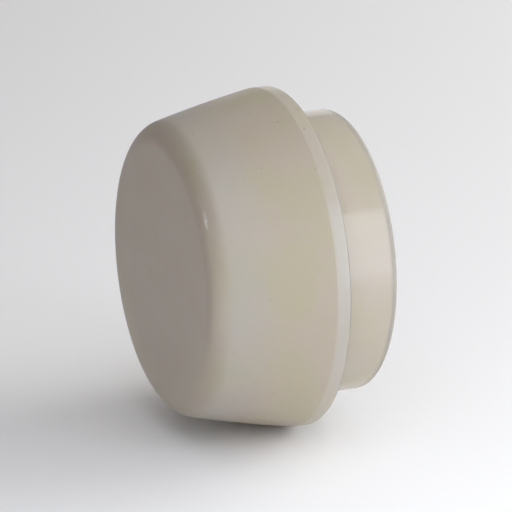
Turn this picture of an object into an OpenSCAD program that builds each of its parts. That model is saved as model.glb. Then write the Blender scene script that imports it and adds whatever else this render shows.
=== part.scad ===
// Push-in pipe cap: a tapered nylon head, a nylon spigot that snaps into its
// back, and a rubber ring that the two hold captive at the shoulder.
// Frame: the axis is X. The origin is the centre of the shoulder, where the
// pipe's cut end lands. The head lies towards -X and the spigot towards +X.

/* [Head] */
// Diameter over the rim, flush with the outside of the pipe
rim_d = 42.2; // [41.6:0.1:46]
// Length of the head from the front face to the shoulder
head_len = 16.4; // [15:0.1:20]
// Angle between the flank and the axis where the flank meets the rim land
flank_angle = 10.5; // [6:0.1:12]
// Radius of the slight crown along the flank
flank_crown_r = 180; // [120:1:400]
// Radius between the front face and the flank
front_corner_r = 3.2; // [2:0.1:4.5]
// Width of the parallel land round the rim
rim_land = 1.8; // [0.8:0.1:2]
// Radius on the back edge of the rim
rim_edge_r = 0.2; // [0.2:0.1:0.6]
// Thickness of the closed front wall
web = 3.8; // [3:0.1:5]

/* [Spigot] */
// Outside diameter of the spigot, a sliding fit in the pipe's bore
spigot_d = 35; // [34:0.1:35.4]
// Length of the spigot behind the shoulder
spigot_len = 7.8; // [5:0.1:12]
// Inside diameter of the spigot
spigot_bore_d = 28.6; // [26:0.1:30]
// Radius on the spigot's back edge
spigot_edge_r = 0.9; // [0.3:0.1:1]
// Length of the neck that goes into the head
neck_len = 6.35; // [6:0.05:7.5]
// Outside diameter of the neck
neck_d = 33.6; // [33:0.1:33.6]
// Height of the snap bead round the neck
bead_h = 0.3; // [0.2:0.05:0.4]

/* [Shoulder seal] */
// Outside diameter of the rubber ring
seal_d = 39.2; // [38.6:0.1:39.4]
// Depth of the groove in the shoulder
seal_groove = 1.6; // [1.2:0.1:2]
// How far the sealing lip stands proud of the shoulder
seal_proud = 0.3; // [0.2:0.05:0.5]

/* [Ribs inside the head] */
// Height of the ribs above the front wall
rib_h = 2.8; // [1:0.1:4]
// Thickness of each rib
rib_t = 1.6; // [1.2:0.1:2.4]
// Number of ribs across the full diameter
rib_bars = 3; // [2:1:4]
// Diameter of the boss where the ribs cross
boss_d = 7; // [5:0.1:10]

/* [Hidden] */
$fn = 180;
nylon = [0.76, 0.72, 0.63];
nylon_spigot = [0.80, 0.77, 0.68];
rubber = [0.10, 0.10, 0.10];

rim_r = rim_d / 2;
spigot_r = spigot_d / 2;
bore_r = spigot_bore_d / 2;
neck_r = neck_d / 2;
seal_r = seal_d / 2;
groove_r = seal_r + 0.1;       // groove outside the ring, with room for it to spread
stop_x = -(neck_len + 0.05);   // step in the head that the neck stops against
bead_x = -4.2;                 // middle of the snap bead
bead_half = 0.7;               // half the bead's width at its foot
bead_flat = 0.3;               // half the bead's width at its top
gap = 0.05;                    // room round the snap bead in its groove
cavity_r = bore_r - 0.2;       // inside of the head next to the front wall
cavity_fillet = 1.5;
web_x = -head_len + web;       // inside face of the front wall

// points of an arc about [cr, cx], from angle a0 to a1
function arc(cr, cx, r, a0, a1, n) =
    [for (i = [0:n]) let (a = a0 + (a1 - a0) * i / n) [cr + r * cos(a), cx + r * sin(a)]];

// centre of the flank's crown, from its tangent at the rim land
crown_cr = rim_r - flank_crown_r * cos(flank_angle);
crown_cx = -rim_land + flank_crown_r * sin(flank_angle);
// centre of the front corner, tangent to the front face and inside the crown
corner_cx = -head_len + front_corner_r;
corner_cr = crown_cr + sqrt(pow(flank_crown_r - front_corner_r, 2) - pow(corner_cx - crown_cx, 2));
corner_a = atan2(corner_cx - crown_cx, corner_cr - crown_cr);

// half sections as [radius, x]
head_section = concat(
    [[0, -head_len]],
    arc(corner_cr, corner_cx, front_corner_r, -90, corner_a, 12),
    [for (p = arc(crown_cr, crown_cx, flank_crown_r, corner_a, -flank_angle, 10)) if (p[1] > corner_cx - front_corner_r * sin(-corner_a) + 0.2) p],
    arc(rim_r - rim_edge_r, -rim_edge_r, rim_edge_r, 0, 90, 6),
    [[groove_r, 0], [groove_r, -seal_groove], [neck_r, -seal_groove],
     [neck_r, bead_x + bead_half + gap], [neck_r + bead_h + gap, bead_x + bead_flat + gap],
     [neck_r + bead_h + gap, bead_x - bead_flat - gap], [neck_r, bead_x - bead_half - gap],
     [neck_r, stop_x], [bore_r, stop_x]],
    arc(cavity_r - cavity_fillet, web_x + cavity_fillet, cavity_fillet, 0, -90, 6),
    [[0, web_x]]
);

spigot_section = concat(
    [[bore_r, -neck_len], [neck_r - 0.4, -neck_len], [neck_r, -neck_len + 0.4],
     [neck_r, bead_x - bead_half], [neck_r + bead_h, bead_x - bead_flat],
     [neck_r + bead_h, bead_x + bead_flat], [neck_r, bead_x + bead_half],
     [neck_r, 0], [spigot_r, 0]],
    arc(spigot_r - spigot_edge_r, spigot_len - spigot_edge_r, spigot_edge_r, 0, 90, 6),
    [[bore_r + 0.4, spigot_len], [bore_r, spigot_len - 0.4]]
);

seal_section = [
    [neck_r + 0.05, -seal_groove + 0.02], [seal_r, -seal_groove + 0.02],
    [seal_r, -0.25], [seal_r - 0.2, -0.05],
    [seal_r - 0.2, seal_proud - 0.2], [seal_r - 0.4, seal_proud],
    [seal_r - 1.1, seal_proud], [seal_r - 1.3, seal_proud - 0.2],
    [seal_r - 1.3, -0.05], [neck_r + 0.05, -0.05]
];

// turns a half section about the X axis
module turned(section) rotate([0, 90, 0]) rotate_extrude() polygon(section);

// one rib across the inside of the front wall
module rib_bar(angle)
    rotate([angle, 0, 0])
        translate([web_x - 0.5, -cavity_r - 0.8, -rib_t / 2])
            cube([rib_h + 0.5, 2 * cavity_r + 1.6, rib_t]);

module cap_head() color(nylon) union() {
    turned(head_section);
    for (i = [0:rib_bars - 1]) rib_bar(i * 180 / rib_bars);
    translate([web_x - 0.5, 0, 0]) rotate([0, 90, 0]) cylinder(d = boss_d, h = rib_h + 0.9);
}

module spigot() color(nylon_spigot) turned(spigot_section);

module shoulder_seal() color(rubber) turned(seal_section);

cap_head();
spigot();
shoulder_seal();
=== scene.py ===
import math

import bmesh
import bpy
from mathutils import Matrix, Vector


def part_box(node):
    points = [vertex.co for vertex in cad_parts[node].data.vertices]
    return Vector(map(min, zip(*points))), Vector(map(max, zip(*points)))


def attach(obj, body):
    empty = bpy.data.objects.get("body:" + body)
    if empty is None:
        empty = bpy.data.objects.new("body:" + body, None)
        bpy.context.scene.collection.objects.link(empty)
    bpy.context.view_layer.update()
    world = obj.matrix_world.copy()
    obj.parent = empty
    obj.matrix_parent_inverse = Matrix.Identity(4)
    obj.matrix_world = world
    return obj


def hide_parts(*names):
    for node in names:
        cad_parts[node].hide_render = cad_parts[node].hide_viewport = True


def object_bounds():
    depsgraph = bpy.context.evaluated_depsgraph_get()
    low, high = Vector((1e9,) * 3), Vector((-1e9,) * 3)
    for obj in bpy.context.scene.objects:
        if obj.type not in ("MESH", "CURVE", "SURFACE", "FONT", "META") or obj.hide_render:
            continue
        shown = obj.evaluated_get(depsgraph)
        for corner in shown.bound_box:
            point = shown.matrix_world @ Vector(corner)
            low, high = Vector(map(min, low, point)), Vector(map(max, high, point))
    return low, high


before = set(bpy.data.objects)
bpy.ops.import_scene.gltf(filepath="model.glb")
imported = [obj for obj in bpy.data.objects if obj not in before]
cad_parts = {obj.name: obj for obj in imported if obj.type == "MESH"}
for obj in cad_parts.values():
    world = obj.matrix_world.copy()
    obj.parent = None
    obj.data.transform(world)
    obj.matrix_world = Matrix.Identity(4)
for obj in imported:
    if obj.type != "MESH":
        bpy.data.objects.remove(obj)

CAD_LOW, CAD_HIGH = [[float(c) for c in corner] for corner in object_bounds()]

# The dimensions of the frame, in millimetres: the axis is X, and x = 0 is the shoulder.
# Everything that the frame's boxes can give is read from them.
MM = 0.001
head_low, head_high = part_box("cap_head")
spigot_low, spigot_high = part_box("spigot")
seal_low, seal_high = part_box("shoulder_seal")
RIM_R = head_high[2] / MM
HEAD_LEN = -head_low[0] / MM
SPIGOT_R = spigot_high[2] / MM
SPIGOT_LEN = spigot_high[0] / MM
NECK_END = -spigot_low[0] / MM
SEAL_R = seal_high[2] / MM
SEAL_PROUD = seal_high[0] / MM
SEAL_DEEP = -seal_low[0] / MM

RIM_LAND, RIM_EDGE, CORNER, CROWN, FLANK = 1.8, 0.2, 3.2, 180.0, math.radians(10.5)
WEB = 3.8
BORE_R = 14.3
NECK_R = 16.8
GROOVE_R = SEAL_R + 0.1
GROOVE_X = -(SEAL_DEEP + 0.02)
CAVITY_R = BORE_R - 0.2
CAVITY_FILLET = 1.5
STOP_X = -(NECK_END + 0.05)
WEB_X = -HEAD_LEN + WEB
RIB_H, RIB_HALF, RIB_BARS = 2.8, 0.8, 3
BOSS_R, BOSS_H = 3.5, 3.2

BODY = "root"
TURN = 288


# ---------------------------------------------------------------- geometry helpers
def arc(cr, cx, r, a0, a1, n):
    """Points of an arc in the (radius, x) half plane, angles in degrees from +radius towards +x."""
    return [(cr + r * math.cos(math.radians(a0 + (a1 - a0) * i / n)), cx + r * math.sin(math.radians(a0 + (a1 - a0) * i / n))) for i in range(n + 1)]


def line(p, q, n):
    return [(p[0] + (q[0] - p[0]) * i / n, p[1] + (q[1] - p[1]) * i / n) for i in range(n + 1)]


def soften(points, r, n=4):
    """Rounds the middle point of three (radius, x) points with radius r."""
    a, b, c = [Vector(p) for p in points]
    u, v = (a - b).normalized(), (c - b).normalized()
    half = u.angle(v) / 2
    t = r / math.tan(half)
    middle = b + (u + v).normalized() * (r / math.sin(half))
    p, q = b + u * t - middle, b + v * t - middle
    turn = math.atan2(p.x * q.y - p.y * q.x, p.dot(q))
    out = []
    for i in range(n + 1):
        s, k = math.sin(turn * i / n), math.cos(turn * i / n)
        out.append((middle.x + p.x * k - p.y * s, middle.y + p.x * s + p.y * k))
    return out


def join(*runs):
    out = []
    for run in runs:
        for p in run:
            if not out or math.dist(out[-1], p) > 1e-5:
                out.append(p)
    return out


def lathe(name, section, closed=True, turn=TURN):
    """A solid of revolution about X from a (radius, x) section in millimetres, run so that its outside is on its left."""
    bm = bmesh.new()
    rings = []
    for r, x in section:
        if r < 1e-6:
            rings.append([bm.verts.new((x * MM, 0.0, 0.0))])
        else:
            rings.append([bm.verts.new((x * MM, r * MM * math.cos(2 * math.pi * i / turn), r * MM * math.sin(2 * math.pi * i / turn))) for i in range(turn)])
    pairs = list(zip(rings, rings[1:] + rings[:1])) if closed else list(zip(rings, rings[1:]))
    for a, b in pairs:
        if len(a) == 1 and len(b) == 1:
            continue
        for i in range(turn):
            j = (i + 1) % turn
            if len(a) == 1:
                bm.faces.new((a[0], b[j], b[i]))
            elif len(b) == 1:
                bm.faces.new((a[i], a[j], b[0]))
            else:
                bm.faces.new((a[i], a[j], b[j], b[i]))
    return finish_mesh(name, bm)


def finish_mesh(name, bm, sharp=28.0):
    bmesh.ops.remove_doubles(bm, verts=bm.verts, dist=1e-8)
    bmesh.ops.dissolve_degenerate(bm, dist=1e-8, edges=bm.edges)
    bmesh.ops.recalc_face_normals(bm, faces=bm.faces)
    mesh = bpy.data.meshes.new(name)
    bm.to_mesh(mesh)
    bm.free()
    mesh.shade_smooth()
    mesh.set_sharp_from_angle(angle=math.radians(sharp))
    piece = bpy.data.objects.new(name, mesh)
    bpy.context.scene.collection.objects.link(piece)
    return piece


def check_closed(piece):
    bm = bmesh.new()
    bm.from_mesh(piece.data)
    open_edges = sum(1 for e in bm.edges if len(e.link_faces) != 2)
    volume = bm.calc_volume(signed=True)
    bm.free()
    print(f"MESH {piece.name}: faces {len(piece.data.polygons)}, open edges {open_edges}, volume {volume * 1e9:.1f} mm3")
    if open_edges or volume <= 0:
        raise RuntimeError(f"{piece.name} isn't a clean solid")


# ---------------------------------------------------------------- head
crown_r = RIM_R - CROWN * math.cos(FLANK)
crown_x = -RIM_LAND + CROWN * math.sin(FLANK)
corner_x = -HEAD_LEN + CORNER
corner_r = crown_r + math.sqrt((CROWN - CORNER) ** 2 - (corner_x - crown_x) ** 2)
corner_a = math.degrees(math.atan2(corner_x - crown_x, corner_r - crown_r))

front = line((0.0, -HEAD_LEN), (corner_r, -HEAD_LEN), 12)
corner = arc(corner_r, corner_x, CORNER, -90.0, corner_a, 22)
flank = arc(crown_r, crown_x, CROWN, corner_a, -math.degrees(FLANK), 18)
crease = soften([flank[-2], (RIM_R, -RIM_LAND), (RIM_R, -RIM_EDGE)], 0.70, 6)
land = join(flank[:-1], crease, line((RIM_R, -RIM_LAND + 0.2), (RIM_R, -RIM_EDGE), 3))
dull_shaded_edge = arc(RIM_R - RIM_EDGE, -RIM_EDGE, RIM_EDGE, 0.0, 90.0, 6)
shoulder = soften([(20.4, 0.0), (GROOVE_R, 0.0), (GROOVE_R, -0.6)], 0.12, 3)
groove = [(GROOVE_R, GROOVE_X), (NECK_R + 0.02, GROOVE_X)]
socket = [(NECK_R + 0.02, STOP_X)]
step = soften([(NECK_R, STOP_X), (BORE_R, STOP_X), (BORE_R - 0.2, WEB_X + 3.0)], 0.15, 3)


def outer_section():
    return join(front, corner, land, dull_shaded_edge, [(20.4, 0.0)], shoulder, groove, socket, step)


def smooth_max(a, b, k):
    """The larger of two heights, blended over k so that the foot of a rib is a fillet."""
    h = max(k - abs(a - b), 0.0) / k
    return max(a, b) + h * h * k * 0.25


# Half profile across a rib: (distance from its middle plane, height over the front wall).
rib_profile = [(0.0, RIB_H), (0.3, RIB_H), (0.55, RIB_H), (0.62, RIB_H - 0.01), (0.69, RIB_H - 0.05), (0.74, RIB_H - 0.12), (0.77, RIB_H - 0.25)]
rib_profile += [(0.77 + 0.05 * i / 5, RIB_H - 0.25 - (RIB_H - 0.25 - 0.42) * i / 5) for i in range(1, 6)]
rib_profile += [(0.82 + 0.42 * (1 - math.cos(math.radians(a))), 0.42 * (1 - math.sin(math.radians(a)))) for a in (18, 36, 54, 72, 90)]
RIB_REACH = rib_profile[-1][0]
WEB_COLUMNS = 14


def columns():
    """The grid's columns round the axis: each rib's profile at fixed distances, and even steps between ribs."""
    out = []
    sector = math.pi / RIB_BARS
    for k in range(2 * RIB_BARS):
        middle = k * sector
        side = [(-d, h) for d, h in reversed(rib_profile[1:])] + list(rib_profile)
        out += [("rib", middle, d, h) for d, h in side]
        out += [("web", middle, (i + 1) / (WEB_COLUMNS + 1), 0.0) for i in range(WEB_COLUMNS)]
    return out


def column_angle(col, r):
    kind, middle, v, _ = col
    if kind == "rib":
        return middle + math.asin(max(-1.0, min(1.0, v / r)))
    sector = math.pi / RIB_BARS
    lo = math.asin(min(1.0, RIB_REACH / r))
    return middle + lo + (sector - 2 * lo) * v


def inner_mesh(bm, boundary_r, boundary_x):
    """The inside of the head: wall, fillet, front wall, ribs and boss in one grid whose columns follow the ribs. Returns its outermost ring."""
    cols = columns()
    # rings from the wall's top down to the boss, as (radius, x)
    rings = [(boundary_r, boundary_x)]
    wall_foot = WEB_X + CAVITY_FILLET
    rings += [(boundary_r + (CAVITY_R - boundary_r) * t, boundary_x + (wall_foot - boundary_x) * t) for t in [i / 10 for i in range(1, 11)]]
    rings += [(CAVITY_R - CAVITY_FILLET + CAVITY_FILLET * math.cos(math.radians(a)), wall_foot - CAVITY_FILLET * math.sin(math.radians(a))) for a in range(9, 91, 9)]
    r = CAVITY_R - CAVITY_FILLET
    rings += [(r - (r - 4.1) * i / 12, WEB_X) for i in range(1, 13)]
    rings += [(BOSS_R + d, WEB_X) for d in (0.45, 0.32, 0.2, 0.12, 0.06, 0.03, 0.0)]
    foot = 0.45
    made = []
    for radius, x in rings:
        ring = []
        over = radius - BOSS_R
        boss = 0.0
        if over < foot:
            boss = foot - math.sqrt(max(foot ** 2 - (foot - max(over, 0.0)) ** 2, 0.0))
        for col in cols:
            a = column_angle(col, radius)
            h = col[3]
            lift = smooth_max(h, boss, 0.25) if boss > 0.0 and h > 0.0 else max(h, boss)
            px = max(x, WEB_X + lift)
            ring.append(bm.verts.new((px * MM, radius * MM * math.cos(a), radius * MM * math.sin(a))))
        made.append(ring)
    # the boss's own side, rounded top edge, a shallow dimple and the gate's broken stub in its middle
    top = WEB_X + BOSS_H
    cap = [(BOSS_R, top - 0.3)] + [(BOSS_R - 0.3 + 0.3 * math.cos(math.radians(a)), top - 0.3 + 0.3 * math.sin(math.radians(a))) for a in (22.5, 45, 67.5, 90)]
    cap += [(2.3, top), (1.9, top - 0.02), (1.6, top - 0.12), (1.3, top - 0.2), (0.85, top - 0.22), (0.78, top - 0.2), (0.74, top - 0.06), (0.66, top - 0.01), (0.3, top - 0.03)]
    for radius, x in cap:
        ring = []
        for col in cols:
            a = column_angle(col, BOSS_R)
            ring.append(bm.verts.new((x * MM, radius * MM * math.cos(a), radius * MM * math.sin(a))))
        made.append(ring)
    for a, b in zip(made, made[1:]):
        n = len(a)
        for i in range(n):
            j = (i + 1) % n
            bm.faces.new((a[i], a[j], b[j], b[i]))
    centre = bm.verts.new(((top - 0.05) * MM, 0.0, 0.0))
    last = made[-1]
    for i in range(len(last)):
        bm.faces.new((last[i], last[(i + 1) % len(last)], centre))
    return made[0]


def make_head():
    bm = bmesh.new()
    section = outer_section()
    cols = columns()
    rings = []
    for r, x in section:
        if r < 1e-6:
            rings.append([bm.verts.new((x * MM, 0.0, 0.0))])
        else:
            rings.append([bm.verts.new((x * MM, r * MM * math.cos(column_angle(c, BORE_R)), r * MM * math.sin(column_angle(c, BORE_R)))) for c in cols])
    n = len(cols)
    for a, b in zip(rings, rings[1:]):
        for i in range(n):
            j = (i + 1) % n
            if len(a) == 1:
                bm.faces.new((a[0], b[j], b[i]))
            else:
                bm.faces.new((a[i], a[j], b[j], b[i]))
    rim = rings[-1]
    inner = inner_mesh(bm, section[-1][0], section[-1][1])
    # both rings lie on the same circle, a hair apart in angle, so the outer one takes the inner one's places
    for a, b in zip(rim, inner):
        a.co = b.co
    return finish_mesh("cap_head_moulding", bm)


head = make_head()
check_closed(head)

# ---------------------------------------------------------------- spigot
bead_x, bead_half, bead_flat, bead_h = -4.2, 0.7, 0.3, 0.3
SPIGOT_EDGE = 0.9
spigot_section = join(
    [(BORE_R, -NECK_END), (NECK_R - 0.4, -NECK_END), (NECK_R, -NECK_END + 0.4), (NECK_R, bead_x - bead_half)],
    [(NECK_R + bead_h, bead_x - bead_flat), (NECK_R + bead_h, bead_x + bead_flat), (NECK_R, bead_x + bead_half), (NECK_R, 0.0)],
    soften([(NECK_R, 0.0), (SPIGOT_R, 0.0), (SPIGOT_R, 2.0)], 0.12, 3),
    line((SPIGOT_R, 0.5), (SPIGOT_R, SPIGOT_LEN - SPIGOT_EDGE), 8),
    arc(SPIGOT_R - SPIGOT_EDGE, SPIGOT_LEN - SPIGOT_EDGE, SPIGOT_EDGE, 0.0, 90.0, 14),
    line((SPIGOT_R - SPIGOT_EDGE, SPIGOT_LEN), (BORE_R + 0.4, SPIGOT_LEN), 3),
    arc(BORE_R + 0.4, SPIGOT_LEN - 0.4, 0.4, 90.0, 180.0, 8),
    line((BORE_R, SPIGOT_LEN - 0.4), (BORE_R, -NECK_END), 10)[:-1],
)
spigot = lathe("spigot_moulding", spigot_section)
check_closed(spigot)

# ---------------------------------------------------------------- seal
lip_in = SEAL_R - 1.3
lip_out = SEAL_R - 0.2
seal_section = join(
    [(NECK_R + 0.05, -SEAL_DEEP), (SEAL_R, -SEAL_DEEP)],
    soften([(SEAL_R, -SEAL_DEEP), (SEAL_R, -0.05), (lip_out, -0.05)], 0.12, 4),
    arc(lip_out - 0.2, SEAL_PROUD - 0.2, 0.2, 0.0, 90.0, 7),
    arc(lip_in + 0.2, SEAL_PROUD - 0.2, 0.2, 90.0, 180.0, 7),
    [(lip_in, -0.05), (NECK_R + 0.05, -0.05)],
)
seal = lathe("shoulder_seal_ring", seal_section)
check_closed(seal)

for piece, node, slot in ((head, "cap_head", "nylon_head"), (spigot, "spigot", "nylon_spigot"), (seal, "shoulder_seal", "seal_rubber")):
    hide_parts(node)
    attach(piece, BODY)


# ---------------------------------------------------------------- materials
class Nodes:
    """A short way to write a node tree: each call makes a node, sets its values and links its inputs."""

    def __init__(self, name):
        self.material = bpy.data.materials.new(name)
        self.material.use_nodes = True
        self.tree = self.material.node_tree
        self.tree.nodes.clear()

    def add(self, kind, settings=None, **inputs):
        node = self.tree.nodes.new(kind)
        for key, value in (settings or {}).items():
            setattr(node, key, value)
        for key, value in inputs.items():
            self.put(node, key.replace("_", " "), value)
        return node

    def put(self, node, key, value):
        socket = node.inputs[int(key[1:])] if key[0] == "i" and key[1:].isdigit() else node.inputs[key]
        if isinstance(value, bpy.types.NodeSocket):
            self.tree.links.new(value, socket)
        else:
            socket.default_value = value

    def math(self, how, a, b=0.0, c=0.0, clamp=False):
        return self.add("ShaderNodeMath", {"operation": how, "use_clamp": clamp}, i0=a, i1=b, i2=c).outputs[0]

    def span(self, value, lo, hi, to_lo=0.0, to_hi=1.0, smooth=False):
        """Maps lo..hi to to_lo..to_hi, held at both ends."""
        settings = {"interpolation_type": "SMOOTHSTEP"} if smooth else {}
        return self.add("ShaderNodeMapRange", settings, Value=value, From_Min=lo, From_Max=hi, To_Min=to_lo, To_Max=to_hi).outputs[0]

    def noise(self, where, scale, detail=2.0, roughness=0.5):
        return self.add("ShaderNodeTexNoise", None, Vector=where, Scale=scale, Detail=detail, Roughness=roughness).outputs[0]

    def stretch(self, where, x, y, z, shift=(0.0, 0.0, 0.0)):
        return self.add("ShaderNodeMapping", None, Vector=where, Scale=(x, y, z), Location=shift).outputs[0]

    def mix(self, factor, a, b):
        node = self.tree.nodes.new("ShaderNodeMix")
        node.data_type = "RGBA"
        node.blend_type = "MIX"
        for socket, value in ((node.inputs[0], factor), (node.inputs[6], a), (node.inputs[7], b)):
            if isinstance(value, bpy.types.NodeSocket):
                self.tree.links.new(value, socket)
            elif isinstance(value, tuple):
                socket.default_value = (*value, 1.0)
            else:
                socket.default_value = value
        return node.outputs[2]

    def bump(self, height, distance, before=None):
        node = self.add("ShaderNodeBump", None, Height=height, Distance=distance, Strength=1.0)
        if before is not None:
            self.tree.links.new(before, node.inputs["Normal"])
        return node.outputs[0]

    def spots(self, where, scale, radius, chosen):
        """Small round marks: one in each Voronoi cell whose random value is over chosen, radius in metres."""
        cell = self.add("ShaderNodeTexVoronoi", {"feature": "F1"}, Vector=where, Scale=scale, Randomness=1.0)
        near = self.span(cell.outputs["Distance"], radius * scale * 1.4, radius * scale * 0.6)
        pick = self.add("ShaderNodeSeparateColor", None, Color=cell.outputs["Color"])
        on = self.math("GREATER_THAN", pick.outputs[0], chosen)
        size = self.span(pick.outputs[1], 0.0, 1.0, 0.35, 1.0)
        return self.math("MULTIPLY", self.math("MULTIPLY", near, on), size)

    def done(self, colour, roughness, normal, **uniform):
        shader = self.add("ShaderNodeBsdfPrincipled")
        for key, value in (("Base Color", colour), ("Roughness", roughness), ("Normal", normal)):
            self.put(shader, key, value if not isinstance(value, tuple) else (*value, 1.0))
        for key, value in uniform.items():
            shader.inputs[key.replace("_", " ")].default_value = value
        out = self.add("ShaderNodeOutputMaterial")
        self.tree.links.new(shader.outputs[0], out.inputs[0])
        return self.material


def nylon(name, cream, olive, rose, rough, rough_swing, peel, subsurface, head_wear_and_painted_light=False):
    """Natural nylon: cream with slow olive and rose clouding, moulded orange peel, specks, pits, nicks and hairlines;
    on the head, also painted shade, painted highlight and painted sheen.
    """
    n = Nodes(name)
    where = n.add("ShaderNodeTexCoord").outputs["Object"]
    parts = n.add("ShaderNodeSeparateXYZ", None, Vector=where)
    x, y, z = parts.outputs[0], parts.outputs[1], parts.outputs[2]
    radius = n.math("SQRT", n.math("ADD", n.math("MULTIPLY", y, y), n.math("MULTIPLY", z, z)))
    # slow clouding through the wall's thickness, and a finer haze over it
    cloud = n.span(n.noise(where, 70.0, 2.0, 0.5), 0.38, 0.62, smooth=True)
    drift = n.span(n.noise(n.stretch(where, 1.0, 1.0, 1.0, (0.31, 0.07, 0.53)), 125.0, 3.0, 0.55), 0.40, 0.60, smooth=True)
    fine = n.noise(where, 520.0, 4.0, 0.6)
    colour = n.mix(cloud, olive, cream)
    colour = n.mix(n.math("MULTIPLY", drift, 0.6), colour, rose)
    colour = n.mix(n.span(fine, 0.35, 0.75, 0.0, 0.08), colour, tuple(c * 0.80 for c in cream))
    # dark specks and pits, pale nicks
    specks = n.spots(where, 520.0, 0.00015, 0.62)
    pits = n.spots(n.stretch(where, 1.0, 1.0, 1.0, (0.013, 0.027, 0.041)), 330.0, 0.00019, 0.66)
    nicks = n.spots(n.stretch(where, 0.7, 1.0, 1.0, (0.11, 0.05, 0.02)), 300.0, 0.00014, 0.62)
    # faint hairlines along the axis, from pushing the cap in and pulling it out, only here and there
    lines = n.noise(n.stretch(where, 90.0, 2300.0, 2300.0), 1.0, 1.0, 0.4)
    patchy = n.span(n.noise(n.stretch(where, 1.0, 1.0, 1.0, (0.9, 0.2, 0.6)), 120.0, 1.0), 0.50, 0.70)
    hair = n.math("MULTIPLY", n.span(lines, 0.62, 0.74), patchy)
    dark = n.math("ADD", n.math("MULTIPLY", specks, 0.34), n.math("MULTIPLY", pits, 0.32), clamp=True)
    colour = n.mix(dark, colour, (0.20, 0.165, 0.115))
    light = n.math("ADD", n.math("MULTIPLY", nicks, 0.30), n.math("MULTIPLY", hair, 0.045), clamp=True)
    colour = n.mix(light, colour, (0.70, 0.67, 0.61))
    roughness = n.span(n.noise(where, 240.0, 3.0, 0.55), 0.3, 0.7, rough - rough_swing, rough + rough_swing)
    roughness = n.math("ADD", roughness, n.math("MULTIPLY", pits, 0.12))
    marks = n.math("ADD", n.math("ADD", pits, n.math("MULTIPLY", specks, 0.4)), n.math("MULTIPLY", nicks, 0.5))
    if head_wear_and_painted_light:
        # the flat face is painted a rosier, slightly darker tone: partly its own tint and partly painted shade
        slow = n.noise(n.stretch(where, 1.0, 1.0, 1.0, (0.4, 0.4, 0.1)), 55.0, 2.0, 0.5)
        face = n.span(x, -(HEAD_LEN - 0.9) * MM, -(HEAD_LEN - 0.1) * MM, smooth=True)
        colour = n.mix(n.math("MULTIPLY", face, 0.85), colour, (0.441, 0.373, 0.308))
        # towards its lower border the face is painted a little paler, as painted light
        lower_face_light = n.math("MULTIPLY", n.span(radius, 11.0 * MM, 15.5 * MM, smooth=True), n.span(z, 1.0 * MM, -8.0 * MM, smooth=True))
        colour = n.mix(n.math("MULTIPLY", n.math("MULTIPLY", lower_face_light, face), 0.5), colour, (0.505, 0.452, 0.362))
        # behind the front corner the skin is painted a cooler, bluish grey: a painted sheen
        cool_sheen = n.math("MULTIPLY", n.span(x, -(HEAD_LEN - 0.3) * MM, -(HEAD_LEN - 2.6) * MM, smooth=True), n.span(x, -7.5 * MM, -12.5 * MM, smooth=True))
        colour = n.mix(n.math("MULTIPLY", cool_sheen, n.span(slow, 0.35, 0.65, 0.30, 0.62)), colour, (0.418, 0.402, 0.372))
        # the outer half of the front corner is painted a little paler over its middle height, as painted light that
        # lifts its shading
        painted_corner_light = n.math("MULTIPLY", n.span(x, -(HEAD_LEN - 0.05) * MM, -(HEAD_LEN - 0.6) * MM, smooth=True), n.span(x, -(HEAD_LEN - 2.5) * MM, -(HEAD_LEN - 0.8) * MM, smooth=True))
        painted_corner_light = n.math("MULTIPLY", n.math("MULTIPLY", painted_corner_light, n.span(z, -11.0 * MM, 0.0, smooth=True)), n.span(z, 15.0 * MM, 5.0 * MM, smooth=True))
        colour = n.mix(n.math("MULTIPLY", painted_corner_light, n.span(slow, 0.35, 0.65, 0.44, 0.62)), colour, (0.560, 0.498, 0.412))
        # the land is painted pale, partly wear from handling and partly a painted highlight band that fades towards its
        # top and bottom; handling also leaves it smoother
        patch_noise = n.noise(n.stretch(where, 1.0, 1.0, 1.0, (0.4, 0.4, 0.1)), 300.0, 3.0, 0.6)
        on_land = n.span(x, -(RIM_LAND + 0.45) * MM, -(RIM_LAND - 0.55) * MM, smooth=True)
        highlight_fade = n.math("MULTIPLY", n.span(z, 18.0 * MM, 8.0 * MM, 0.35, 1.0, smooth=True), n.span(z, -17.0 * MM, -5.0 * MM, 0.45, 1.0, smooth=True))
        pale_land_and_highlight = n.math("MULTIPLY", highlight_fade, n.span(slow, 0.30, 0.70, 0.42, 0.62))
        colour = n.mix(n.math("MULTIPLY", on_land, pale_land_and_highlight), colour, (0.448, 0.436, 0.420))
        roughness = n.math("MAXIMUM", n.math("SUBTRACT", roughness, n.math("MULTIPLY", on_land, LAND_GLOSS)), 0.285)
        # a thin painted line of shade along the very edge of the shoulder, broken up by noise, with a few dirt crumbs
        # on the land just beside it
        crumbs = n.math("MULTIPLY", n.spots(where, 700.0, 0.00009, 0.55), n.span(x, -0.55 * MM, -0.25 * MM))
        shade_line_and_crumbs = n.math("MULTIPLY", n.span(x, -0.22 * MM, -0.10 * MM), n.span(patch_noise, 0.25, 0.60, 0.62, 0.95))
        shade_line_and_crumbs = n.math("MULTIPLY", n.math("MAXIMUM", shade_line_and_crumbs, n.math("MULTIPLY", crumbs, 0.5)), n.span(radius, RIM_R_IN * MM, RIM_R_OUT * MM, 0.10, 1.0, smooth=True))
        colour = n.mix(shade_line_and_crumbs, colour, (0.17, 0.16, 0.145))
        roughness = n.math("ADD", roughness, n.math("MULTIPLY", shade_line_and_crumbs, 0.35))
        # one short scuff on the front corner, painted bright and smoother: partly a real scuff and partly a painted
        # highlight
        scuff_and_glint = scuff_and_glint_mask(n, where)
        colour = n.mix(n.math("MULTIPLY", scuff_and_glint, 0.50), colour, (0.72, 0.70, 0.65))
        roughness = n.math("SUBTRACT", roughness, n.math("MULTIPLY", scuff_and_glint, 0.17))
    else:
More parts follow.
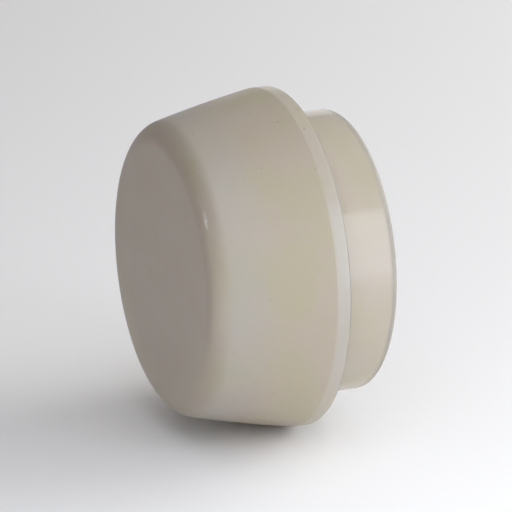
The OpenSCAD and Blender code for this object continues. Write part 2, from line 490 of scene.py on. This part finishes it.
        # the spigot's back edge is dulled, and painted darker there as painted shade
        dull_shaded_edge = n.span(x, (SPIGOT_LEN - SPIGOT_EDGE - 0.3) * MM, (SPIGOT_LEN - SPIGOT_EDGE + 0.3) * MM, smooth=True)
        dull_shaded_edge = n.math("MULTIPLY", dull_shaded_edge, n.span(radius, (SPIGOT_R - 1.4) * MM, (SPIGOT_R - 0.6) * MM, smooth=True))
        roughness = n.math("ADD", roughness, n.math("MULTIPLY", dull_shaded_edge, 0.42))
        colour = n.mix(n.math("MULTIPLY", dull_shaded_edge, n.span(n.noise(where, 420.0, 3.0, 0.6), 0.3, 0.7, 0.58, 0.72)), colour, (0.23, 0.225, 0.21))
    normal = n.bump(n.noise(where, 950.0, 2.0, 0.5), peel)
    normal = n.bump(n.noise(where, 240.0, 1.0, 0.5), peel * 1.6, normal)
    normal = n.bump(n.math("SUBTRACT", 1.0, marks), 0.00005, normal)
    return n.done(colour, roughness, normal, IOR=1.53, Subsurface_Weight=subsurface, Subsurface_Radius=(1.0, 0.92, 0.80), Subsurface_Scale=0.0008)


def scuff_and_glint_mask(n, where):
    """An ellipsoid 2.5 mm long round the axis and 0.6 mm wide on the front corner, broken up by noise."""
    t, a = math.radians(36.5), math.radians(54.0)
    out_r = Vector((0.0, -math.cos(t), math.sin(t)))
    normal = Vector((-math.sin(a), 0.0, 0.0)) + out_r * math.cos(a)
    middle = (Vector((corner_x, 0.0, 0.0)) + out_r * corner_r + normal * CORNER) * MM
    around = Vector((0.0, math.sin(t), math.cos(t)))
    across = normal.cross(around)
    from_middle = n.add("ShaderNodeVectorMath", {"operation": "SUBTRACT"}, i0=where, i1=tuple(middle)).outputs[0]
    total = 0.0
    for axis, half in ((around, 1.25), (across, 0.30), (normal, 1.0)):
        along = n.add("ShaderNodeVectorMath", {"operation": "DOT_PRODUCT"}, i0=from_middle, i1=tuple(axis / (half * MM))).outputs["Value"]
        total = n.math("ADD", n.math("MULTIPLY", along, along), total)
    whole = n.span(total, 1.0, 0.35)
    return n.math("MULTIPLY", whole, n.span(n.noise(where, 1500.0, 2.0, 0.5), 0.36, 0.52))


LAND_GLOSS = 0.09
RIM_R_IN, RIM_R_OUT = 20.55, 20.95
head.data.materials.append(nylon("moulded_nylon_satin", (0.455, 0.397, 0.307), (0.440, 0.393, 0.275), (0.461, 0.390, 0.329), 0.38, 0.05, 0.000010, 0.20, head_wear_and_painted_light=True))
spigot.data.materials.append(nylon("moulded_nylon_gloss", (0.480, 0.428, 0.342), (0.466, 0.421, 0.313), (0.484, 0.421, 0.361), 0.18, 0.035, 0.000006, 0.10))


def rubber(name):
    n = Nodes(name)
    where = n.add("ShaderNodeTexCoord").outputs["Object"]
    bloom = n.span(n.noise(where, 210.0, 3.0, 0.6), 0.45, 0.75)
    colour = n.mix(bloom, (0.016, 0.016, 0.017), (0.034, 0.033, 0.032))
    dust = n.spots(where, 420.0, 0.00007, 0.72)
    colour = n.mix(n.math("MULTIPLY", dust, 0.5), colour, (0.22, 0.21, 0.19))
    roughness = n.span(n.noise(where, 480.0, 2.0), 0.3, 0.7, 0.52, 0.68)
    normal = n.bump(n.noise(where, 2100.0, 2.0, 0.6), 0.00002)
    return n.done(colour, roughness, normal, IOR=1.52)


def paper(name):
    n = Nodes(name)
    where = n.add("ShaderNodeTexCoord").outputs["Object"]
    colour = n.mix(n.noise(where, 30.0, 2.0), (0.945, 0.945, 0.945), (0.955, 0.955, 0.955))
    normal = n.bump(n.noise(where, 900.0, 2.0), 0.000004)
    return n.done(colour, 0.75, normal, IOR=1.45)


seal.data.materials.append(rubber("seal_rubber_black"))

# ---------------------------------------------------------------- camera
AZ, EL = math.radians(-22.238), math.radians(17.650)
right = Vector((math.cos(AZ), math.sin(AZ), 0.0))
up = Vector((-math.sin(AZ) * math.sin(EL), math.cos(AZ) * math.sin(EL), math.cos(EL)))
forward = Vector((-math.sin(AZ) * math.cos(EL), math.cos(AZ) * math.cos(EL), -math.sin(EL)))
eye = (right * -3.4217 + up * -0.0502 - forward * 471.79) * MM
lens = bpy.data.cameras.new("camera")
lens.sensor_width = 36.0
lens.lens = 267.93
lens.clip_start = 0.01
lens.clip_end = 20.0
camera = bpy.data.objects.new("camera", lens)
bpy.context.scene.collection.objects.link(camera)
camera.matrix_world = Matrix.Translation(eye) @ Matrix((right, up, -forward)).transposed().to_4x4()
bpy.context.scene.camera = camera

# ---------------------------------------------------------------- floor
floor_z = CAD_LOW[2]
mesh = bpy.data.meshes.new("floor")
mesh.from_pydata([(-3, -3, floor_z), (3, -3, floor_z), (3, 3, floor_z), (-3, 3, floor_z)], [], [(0, 1, 2, 3)])
floor = bpy.data.objects.new("floor", mesh)
bpy.context.scene.collection.objects.link(floor)
mesh.materials.append(paper("pale_floor"))

# ---------------------------------------------------------------- light
world = bpy.data.worlds.new("studio")
bpy.context.scene.world = world
world.use_nodes = True
world.node_tree.nodes["Background"].inputs["Color"].default_value = (1.03, 0.995, 1.01, 1.0)
world.node_tree.nodes["Background"].inputs["Strength"].default_value = 0.22


def softbox(name, lam, psi, distance, width, height, radiance, tint=(1.0, 1.0, 1.0)):
    """A plain rectangular panel that faces the origin: lam degrees from the Y-Z plane towards +X, psi degrees up from -Y, width and height in degrees seen from the origin."""
    l, p = math.radians(lam), math.radians(psi)
    d = Vector((math.sin(l), -math.cos(l) * math.cos(p), math.cos(l) * math.sin(p)))
    x = Vector((0.0, math.sin(p), math.cos(p)))
    along = d.cross(x).normalized()
    data = bpy.data.lights.new(name, "AREA")
    data.shape = "RECTANGLE"
    data.size = 2 * distance * math.tan(math.radians(height) / 2)
    data.size_y = 2 * distance * math.tan(math.radians(width) / 2)
    data.energy = radiance * math.pi * data.size * data.size_y
    data.color = tint
    panel = bpy.data.objects.new(name, data)
    bpy.context.scene.collection.objects.link(panel)
    x = along.cross(d)
    panel.matrix_world = Matrix.Translation(d * distance) @ Matrix((x, along, d)).transposed().to_4x4()
    panel.visible_camera = False
    return panel


softbox("panel_band", 24.3, 19.4, 0.16, 22.0, 46.2, 2.6, (0.92, 0.99, 1.14))
softbox("panel_front", -22.0, 38.0, 0.16, 30.0, 80.0, 0.96, (0.97, 1.0, 1.06))
softbox("panel_middle", 1.0, 40.0, 0.20, 15.0, 90.0, 1.2, (0.99, 1.0, 1.04))
softbox("panel_streak", -72.1, 102.6, 0.5145, 4.0, 6.0, 7.4)
softbox("panel_right_front", 48.0, 28.0, 0.30, 22.0, 70.0, 2.0)
softbox("panel_right", 74.0, 36.0, 0.40, 30.0, 96.0, 1.95)
softbox("panel_right_top", 60.0, 96.0, 0.40, 44.0, 40.0, 1.45)
softbox("panel_back", 45.0, 172.0, 0.40, 60.0, 24.0, 0.75)
softbox("panel_over", 0.0, 104.0, 0.80, 60.0, 40.0, 0.3)
softbox("panel_back_over", 30.0, 140.0, 0.80, 50.0, 30.0, 0.3)

bpy.context.scene.view_settings.view_transform = "Standard"
